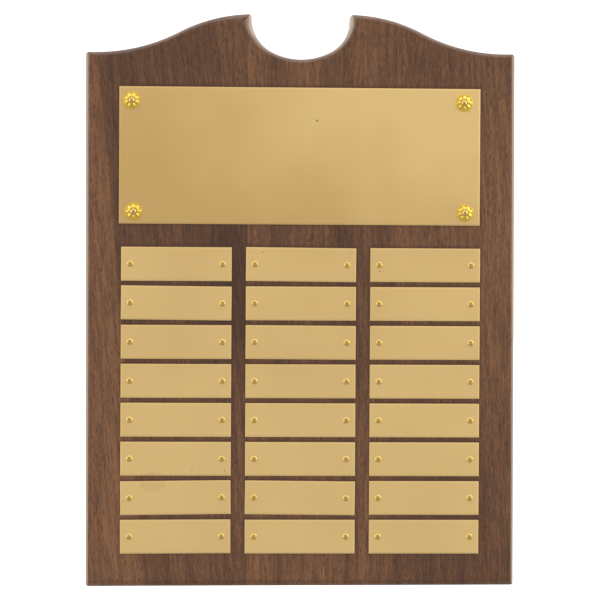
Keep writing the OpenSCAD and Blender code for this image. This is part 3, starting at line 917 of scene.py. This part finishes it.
    def rout(self, piece: bpy.types.Object) -> None:
        """Cuts the hanger's recess into a stave and keeps the result as its mesh.

        Args:
            piece: The centre stave.
        """
        cutters = self.recess_cutters()
        for cutter in cutters:
            cut = piece.modifiers.new("rout", "BOOLEAN")
            cut.operation, cut.solver, cut.object = "DIFFERENCE", "EXACT", cutter
        graph = bpy.context.evaluated_depsgraph_get()
        mesh = bpy.data.meshes.new_from_object(piece.evaluated_get(graph))
        piece.modifiers.clear()
        piece.data = mesh
        mesh.shade_smooth()
        mesh.set_sharp_from_angle(angle=SHARP_ANGLE)
        for cutter in cutters:
            bpy.data.objects.remove(cutter)

    def build(self, finishes: dict[str, Walnut]) -> None:
        """Builds the three staves and dresses each in its own walnut.

        Args:
            finishes: The walnut for each stave's node.
        """
        glue_left, glue_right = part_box("stave_left")[1][0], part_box("stave_right")[0][0]
        shell = self.shell()
        cuts = {"stave_left": (None, glue_left), "stave_centre": (glue_left, glue_right),
                "stave_right": (glue_right, None)}
        for node, (left, right) in cuts.items():
            piece = make_object(f"walnut_{node}", self.stave(shell, left, right))
            if node == "stave_centre":
                self.rout(piece)
            piece.data.materials.append(finishes[node].material())
            hand_over(piece, Slot.WALNUT, node)
        shell.free()


# ---- brass plates, pins and rosettes ----


@dataclass
class Plates:
    """The header plate and the grid of name plates, cut from one kind of sheet brass."""

    plate_finish: SheetBrass
    header_finish: SheetBrass
    pin_inset: float = 6.4 * MM

    def name_plates(self) -> list[str]:
        """Lists the name plates' nodes."""
        return sorted(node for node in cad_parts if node.startswith("name_plate_r"))

    def dress(self) -> None:
        """Gives every plate its brass."""
        low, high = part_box("header_plate")
        middle = (Vector(low) + Vector(high)) / 2
        dress_node("header_plate", self.header_finish.material(middle))
        material = self.plate_finish.material(middle)
        for node in self.name_plates():
            dress_node(node, material)

    def pin_seats(self) -> np.ndarray:
        """Finds where the pins sit on the name plates' faces.

        The four back corners give a plate's middle and its slight turn. Its pins lie on its
        middle line, an inset from each end.

        Returns:
            One row of x, y and z for each pin.
        """
        seats = []
        for node in self.name_plates():
            points = node_points(node)
            back = points[points[:, 1] > points[:, 1].max() - MERGE][:, [0, 2]]
            lower_left, upper_left = back[np.argmin(back @ (1, 1))], back[np.argmin(back @ (1, -1))]
            lower_right, upper_right = back[np.argmax(back @ (1, -1))], back[np.argmax(back @ (1, 1))]
            left, right = (lower_left + upper_left) / 2, (lower_right + upper_right) / 2
            step = (right - left) * self.pin_inset / np.linalg.norm(right - left)
            for x, z in (left + step, right - step):
                seats.append((x, points[:, 1].min(), z))
        return np.array(seats)


@dataclass
class Pin:
    """A brass pin: a domed head, hammered a little flat, on a thin land, and a pointed shank."""

    head_d: float
    head_h: float
    shank_d: float
    length: float
    hammered: float = 0.3 * MM  # height that the hammer took off the dome
    dark_r: float = 0.9 * MM  # radius of the painted dark reflection in the middle of the head
    dark_end: float = 1.6  # where the last of the painted dark reflection stops, in radii of the patch
    # how dark the painted reflection is at its middle
    dull_and_dark: float = 0.8
    land: float = 0.15 * MM
    segments: int = 32

    def profile(self) -> np.ndarray:
        """Works out the pin's profile.

        The dome is part of a sphere. At an angle from the top its radius is the sphere's radius
        times the sine, and it lies below the top by the sphere's radius times one less the cosine.
        The hammered patch is where the dome would stand higher than the hammer left it.

        Returns:
            Rows of radius and height above the seat.
        """
        radius, rise = self.head_d / 2, self.head_h - self.land
        sphere = (radius ** 2 + rise ** 2) / (2 * rise)
        angle = np.linspace(0, math.asin(radius / sphere), 14)
        dome = np.column_stack([sphere * np.sin(angle), self.head_h - sphere * (1 - np.cos(angle))])
        dome[:, 1] = np.minimum(dome[:, 1], self.head_h - self.hammered)
        shank_r = self.shank_d / 2
        point = 3 * shank_r
        rest = np.array([[radius, 0], [shank_r, 0], [shank_r, point - self.length], [0, -self.length]])
        return np.concatenate([dome, rest])

    def build(self, name: str, seats: np.ndarray, finish: BrightBrass, node: str) -> None:
        """Builds one pin on each seat, with a painted dark reflection in the middle of its head.

        The painted dark reflection is full within a third of the patch's radius and falls off evenly
        from there.

        Args:
            name: The piece's name.
            seats: One row of x, y and z for each seat.
            finish: The pins' brass.
            node: The CAD node that they stand for.
        """
        piece = make_object(name, turned_solid(self.profile(), seats, self.segments))
        off = piece_points(piece)[:, None, [0, 2]] - seats[None][..., [0, 2]]
        near = np.linalg.norm(off, axis=-1).min(axis=1)
        painted_darkening = np.clip(1.25 - 0.75 * near / self.dark_r, 0, 1) * (near < self.dark_r * self.dark_end)
        mark_points(piece, PAINTED_DARK_REFLECTION, self.dull_and_dark * painted_darkening)
        piece.data.materials.append(finish.material())
        hand_over(piece, Slot.PIN, node)


@dataclass
class Rosette:
    """A pressed brass rosette: a plain rim round a ring of ribs and a recess for its nail."""

    diameter: float = 12 * MM
    height: float = 1.75 * MM
    rim_w: float = 0.9 * MM
    rim_t: float = 0.7 * MM
    recess_d: float = 4.8 * MM
    floor: float = 1 * MM
    ribs: int = 8
    rib_w: float = 0.5 * MM
    rib_h: float = 0.3 * MM
    dish_bend: float = 1.2  # above 1 the dish stays high near the recess and falls off near the rim
    hollow: float = 0.3  # depth of the hollow between two ribs, as a share of a rib's height
    dimple: float = 0.2 * MM
    dimple_at: float = 0.74  # where the dimples lie, as a share of the way from recess to rim
    dimple_l: float = 0.14  # half length of a dimple, as a share of the same way
    dimple_w: float = 0.5 * MM
    # degrees that each was turned when it was nailed: lower left, upper left, lower right, upper right
    turns: tuple = (2.0, 24.0, 16.0, 1.0)
    highlight_strength: float = 0.8  # how strong the painted pale highlight along the tops of the ribs is
    highlight_w: float = 0.425 * MM
    highlight_fade: float = 0.5 * MM
    segments: int = 160
    steps: int = 44

    def centres(self) -> np.ndarray:
        """Finds the four rosettes' seats from the CAD node, one in each corner of the header."""
        points = node_points("rosettes")
        middle = (points.min(axis=0) + points.max(axis=0)) / 2
        seats = []
        for right in (False, True):
            for upper in (False, True):
                mine = points[((points[:, 0] > middle[0]) == right) & ((points[:, 2] > middle[2]) == upper)]
                centre = (mine.min(axis=0) + mine.max(axis=0)) / 2
                seats.append((centre[0], mine[:, 1].max(), centre[2]))
        return np.array(seats)

    def surface(self) -> np.ndarray:
        """Works out the rosette's height over its seat, as a function of radius and turn.

        A dish falls from the recess's lip to the rim. Each rib adds a bell-shaped ridge across its
        own line, under an arch that runs from the lip to the rim. Between two ribs the dish is
        hollowed under the same arch, with a small dimple pressed in near the rim.

        Returns:
            Rows of rings, each with a radius, a turn and a height for every segment.
        """
        outer, recess = self.diameter / 2, self.recess_d / 2
        inner_rim = outer - self.rim_w
        turn = np.linspace(0, 2 * math.pi, self.segments, endpoint=False)
        radius = np.linspace(recess, inner_rim, self.steps)[:, None] + 0 * turn
        along = (radius - recess) / (inner_rim - recess)
        dish = self.rim_t + (self.height - self.rib_h - self.rim_t) * (1 - along ** self.dish_bend)
        arch = np.sin(along ** 0.8 * math.pi) ** 0.6
        pitch = 2 * math.pi / self.ribs
        from_rib = (turn + pitch / 2) % pitch - pitch / 2
        from_gap = turn % pitch - pitch / 2
        rib = np.exp(-(radius * from_rib / self.rib_w) ** 2)
        between = np.cos(from_gap * self.ribs / 2) ** 2
        dot = np.exp(-((along - self.dimple_at) / self.dimple_l) ** 2
                     - (radius * from_gap / self.dimple_w) ** 2)
        height = dish + self.rib_h * arch * (rib - self.hollow * between) - self.dimple * dot
        return np.stack([radius, turn + 0 * radius, np.maximum(height, 0.3 * self.rim_t)], axis=-1)

    def rib_highlight(self, points: np.ndarray) -> np.ndarray:
        """Works out each point's share of the painted pale highlight, most along the tops of the ribs.

        The share falls off as a bell across each rib and fades out before the rim.

        Args:
            points: One row of x, y and z for each point.

        Returns:
            A share from 0 to 1 for each point.
        """
        off = points[:, None, [0, 2]] - self.centres()[None][..., [0, 2]]
        radius = np.linalg.norm(off, axis=-1)
        mine = (np.arange(len(points)), radius.argmin(axis=1))
        turn = np.arctan2(off[mine][:, 1], off[mine][:, 0]) - np.radians(self.turns)[mine[1]]
        radius = radius[mine]
        pitch = 2 * math.pi / self.ribs
        from_rib = (turn + pitch / 2) % pitch - pitch / 2
        share = np.exp(-(radius * from_rib / self.highlight_w) ** 2)
        inner, outer = self.recess_d / 2, self.diameter / 2 - self.rim_w
        fade = np.clip((outer - radius) / self.highlight_fade, 0, 1) * (radius > inner - MERGE)
        return self.highlight_strength * share * fade

    def build(self, finish: BrightBrass) -> None:
        """Builds the four rosettes as separate solids in one piece.

        Args:
            finish: The rosettes' brass.
        """
        ribbed = self.surface()
        turn = ribbed[0, :, 1]
        outer, recess = self.diameter / 2, self.recess_d / 2
        bead_r = 0.35 * MM
        bead = np.linspace(0, math.pi / 2, 6)
        inside = [(0, self.floor), (recess - 0.1 * MM, self.floor)]
        outside = np.column_stack([outer - bead_r * (1 - np.sin(bead)),
                                   self.rim_t - bead_r * (1 - np.cos(bead))]).tolist()
        outside += [(outer, 0), (0, 0)]
        rings = [[np.column_stack([np.full(len(turn), r), turn, np.full(len(turn), h)]) for r, h in rows]
                 for rows in (inside, outside)]
        grid = np.stack([*rings[0], *ribbed, *rings[1]])
        angle = grid[None, ..., 1] + np.radians(self.turns)[:, None, None]
        local = np.stack([grid[..., 0] * np.cos(angle), 0 * angle - grid[..., 2],
                          grid[..., 0] * np.sin(angle)], axis=-1)
        points = (self.centres()[:, None, None, :] + local).reshape(-1, 3)
        faces = grid_faces(len(grid), self.segments)
        each = len(grid) * self.segments
        faces = (faces[None] + (np.arange(len(local)) * each)[:, None, None]).reshape(-1, 4)
        piece = make_object("pressed_rosettes", solid_from(points, faces.tolist()))
        # painted pale highlight along the tops of the ribs
        mark_points(piece, RIB_HIGHLIGHT, self.rib_highlight(piece_points(piece)))
        piece.data.materials.append(finish.material())
        hand_over(piece, Slot.ROSETTE, "rosettes")


# ---- the studio ----


@dataclass
class Softbox:
    """A square soft light that points at the plaque."""

    name: str
    turn: float  # degrees round the plaque, from straight in front towards the right
    height: float  # degrees above the plaque
    distance: float
    size: float
    power: float

    def build(self, middle: Vector) -> None:
        """Adds the light.

        Args:
            middle: The point that it lights.
        """
        turn, height = math.radians(self.turn), math.radians(self.height)
        way = Vector((math.sin(turn) * math.cos(height), -math.cos(turn) * math.cos(height),
                      math.sin(height)))
        lamp = bpy.data.lights.new(self.name, "AREA")
        lamp.shape, lamp.size, lamp.energy = "SQUARE", self.size, self.power
        holder = bpy.data.objects.new(self.name, lamp)
        holder.location = middle + way * self.distance
        holder.rotation_euler = (-way).to_track_quat("-Z", "Y").to_euler()
        bpy.context.scene.collection.objects.link(holder)


@dataclass
class Studio:
    """A white light tent with a dark opening for the camera, a pale floor and a long lens."""

    lens: float = 125.2
    view_turn: float = 2.146  # degrees that the camera looks to the right of straight ahead
    view_drop: float = 0.7  # degrees that it looks down
    view_roll: float = 0.13  # degrees that it leans to its left
    view_distance: float = 1.5
    aim_right: float = 0.2 * MM
    aim_above_middle: float = 0.1 * MM
    tent: float = 0.87
    opening: float = 0.67
    sides: float = 2.45  # how much brighter the tent is beside the plaque
    behind: float = 0.6  # how much of that light is left behind the plaque
    below: float = 0.45  # share of the tent's light that comes from below the plaque
    floor_drop: float = 0.26
    floor_reach: float = 14.0
    softboxes: tuple = (
        Softbox("right_softbox", 62, 18, 1.6, 1.1, 6),
        Softbox("left_softbox", -68, 5, 1.6, 1.1, 4),
        Softbox("top_softbox", 20, 72, 1.6, 1.1, 3),
    )

    def middle(self) -> Vector:
        """Gives the middle of the board's back."""
        low, high = board_box()
        return Vector(((low.x + high.x) / 2, 0, (low.z + high.z) / 2))

    def add_camera(self) -> None:
        """Adds the camera and makes it the scene's own."""
        turn, drop = math.radians(self.view_turn), math.radians(self.view_drop)
        way = Vector((math.sin(turn) * math.cos(drop), math.cos(turn) * math.cos(drop), -math.sin(drop)))
        lens = bpy.data.cameras.new("camera")
        lens.lens = self.lens
        camera = bpy.data.objects.new("camera", lens)
        aim = self.middle() + Vector((self.aim_right, 0, self.aim_above_middle))
        camera.location = aim - way * self.view_distance
        roll = Quaternion((0, 0, 1), math.radians(self.view_roll))
        camera.rotation_euler = (way.to_track_quat("-Z", "Y") @ roll).to_euler()
        bpy.context.scene.collection.objects.link(camera)
        bpy.context.scene.camera = camera

    def add_tent(self) -> None:
        """Lights the scene from a white tent, darker below and where the camera looks in.

        Each share of the light belongs to a direction: it changes from one value to another
        between two places along +Y, which points away from the camera, or +Z.
        """
        world = bpy.data.worlds.new("light_tent")
        world.use_nodes = True
        tree = world.node_tree
        way = add_node(tree, "ShaderNodeTexCoord").outputs["Generated"]
        axes = add_node(tree, "ShaderNodeSeparateXYZ", {"Vector": way})
        glow = None
        for axis, start, end, before, after in (
                ("Y", -0.97, -0.8, self.opening, self.tent), ("Y", -0.75, -0.2, 1.0, self.sides),
                ("Y", -0.1, 0.3, 1.0, self.behind), ("Z", -0.6, -0.2, self.below, 1.0)):
            share = add_node(tree, "ShaderNodeMapRange", {
                "Value": axes.outputs[axis], "From Min": start, "From Max": end,
                "To Min": before, "To Max": after}, interpolation_type="SMOOTHSTEP")
            glow = share if glow is None else add_node(
                tree, "ShaderNodeMath", {0: glow, 1: share}, operation="MULTIPLY")
        seen = add_node(tree, "ShaderNodeLightPath").outputs["Is Camera Ray"]
        glow = add_node(tree, "ShaderNodeMath", {0: glow, 1: seen}, operation="MAXIMUM")
        tree.links.new(glow.outputs[0], tree.nodes["Background"].inputs["Strength"])
        tree.nodes["Background"].inputs["Color"].default_value = (1, 1, 1, 1)
        bpy.context.scene.world = world

    def add_floor(self) -> None:
        """Lays a wide pale floor below the plaque, which hangs clear of it."""
        low, _ = board_box()
        reach, level = self.floor_reach, low.z - self.floor_drop
        mesh = bpy.data.meshes.new("floor")
        mesh.from_pydata([(-reach, -reach, level), (reach, -reach, level), (reach, reach, level),
                          (-reach, reach, level)], [], [(0, 1, 2, 3)])
        floor = bpy.data.objects.new("floor", mesh)
        bpy.context.scene.collection.objects.link(floor)
        material, _, _ = new_shader(
            "pale_floor", Base_Color=linear("#F6F5F3"), Roughness=0.9,
            Emission_Color=linear("#FFFFFF"), Emission_Strength=0.25)
        mesh.materials.append(material)
        floor.visible_diffuse = floor.visible_glossy = False

    def build(self) -> None:
        """Sets up the camera, the tent, the softboxes and the floor."""
        self.add_camera()
        self.add_tent()
        self.add_floor()
        for softbox in self.softboxes:
            softbox.build(self.middle())
        bpy.context.scene.view_settings.view_transform = "Standard"


# ---- the plaque's own finishes and sizes ----

WALNUTS = {
    "stave_left": Walnut(
        name="walnut_left", slant=5.0, seed=0.37,
        bands=((-160, 0.3), (-137, 0.1), (-118, 0.5), (-112, 0.45), (-110, -0.3), (-101, -0.2),
               (-88, -0.25), (-70, -0.1), (-58, -0.22), (-30, -0.14), (-5, 0.2)),
        heights=((0, 0.22), (60, 0.38), (150, 0.22), (230, 0.0), (330, 0.0), (406, -0.1)),
        heart=(-48, 215, 42, 130, -0.86)),
    "stave_centre": Walnut(
        name="walnut_centre", slant=0.6, seed=1.21,
        bands=((-40, 0.45), (-27, 0.3), (-18, 0.0), (-14, -0.2), (-7, 0.1), (8, 0.25), (18, 0.2),
               (26, 0.05), (33, -0.3), (40, 0.0), (48, 0.2), (56, 0.05), (70, 0.05)),
        heights=((0, 0.2), (60, 0.2), (150, -0.05), (250, -0.2), (340, 0.05), (406, 0.05))),
    "stave_right": Walnut(
        name="walnut_right", slant=1.0, seed=2.63,
        bands=((64, 0.1), (76, 0.2), (84, 0.05), (98, 0.0), (106, 0.0), (120, 0.05), (135, 0.2),
               (155, 0.3)),
        heights=((0, -0.4), (60, -0.2), (120, -0.1), (160, 0.1), (240, 0.2), (320, 0.18), (370, -0.1),
                 (406, 0.0))),
}
# The header's lean is a painted light gradient, lighter towards its upper right; its darker shade widens
# it.
HEADER_BRASS = SheetBrass(
    "satin_header_brass", shade="#DCB776", lean=(3.6, 7.0), stains=((11.4, 330.7, 0.9, 0.8, 0.8),))
# The name plates' lean is a painted light gradient, lighter towards the foot.
PLATE_BRASS = SheetBrass("satin_plate_brass", lean=(0, -1.6), stains=(
    (-104.7, 74.6, 10, 7.5, 0.1), (-27.1, 237.4, 0.6, 0.6, 0.7), (56.3, 223.8, 0.6, 0.5, 0.7),
    (-76.9, 82.8, 0.6, 0.5, 0.7), (-53.7, 82.4, 0.5, 0.5, 0.7)))
PIN_BRASS = BrightBrass("pin_brass", high="#BFA45C", low="#D9A548", roughness=0.4, lacquer=0.3)
ROSETTE_BRASS = BrightBrass(
    "pressed_gold_brass", high="#E2B93C", low="#C69B38", roughness=0.36, hollow=0.5, lacquer=0.4)
NAIL_BRASS = BrightBrass("tarnished_nail_brass", high="#CFAE62", low="#A67C3C", roughness=0.3)


def main() -> None:
    """Builds the studio and the plaque."""
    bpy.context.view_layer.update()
    Studio().build()
    Board().build(WALNUTS)
    plates = Plates(PLATE_BRASS, HEADER_BRASS)
    plates.dress()
    Pin(head_d=4.5 * MM, head_h=1.1 * MM, shank_d=1.2 * MM, length=9.5 * MM).build(
        "domed_plate_pins", plates.pin_seats(), PIN_BRASS, "name_plate_pins")
    rosette = Rosette()
    rosette.build(ROSETTE_BRASS)
    # the nails' heads take a fainter painted dark reflection
    Pin(head_d=4.4 * MM, head_h=1.2 * MM, shank_d=1.6 * MM, length=13 * MM, hammered=0.1 * MM,
        dull_and_dark=0.3).build(
        "rosette_nails", rosette.centres() - (0, rosette.floor, 0), NAIL_BRASS, "rosette_pins")
    zinc = ZincPlate().material()
    for node in ("keyhole_hanger", "hanger_screws"):
        dress_node(node, zinc)


if __name__ == "__main__":
    main()
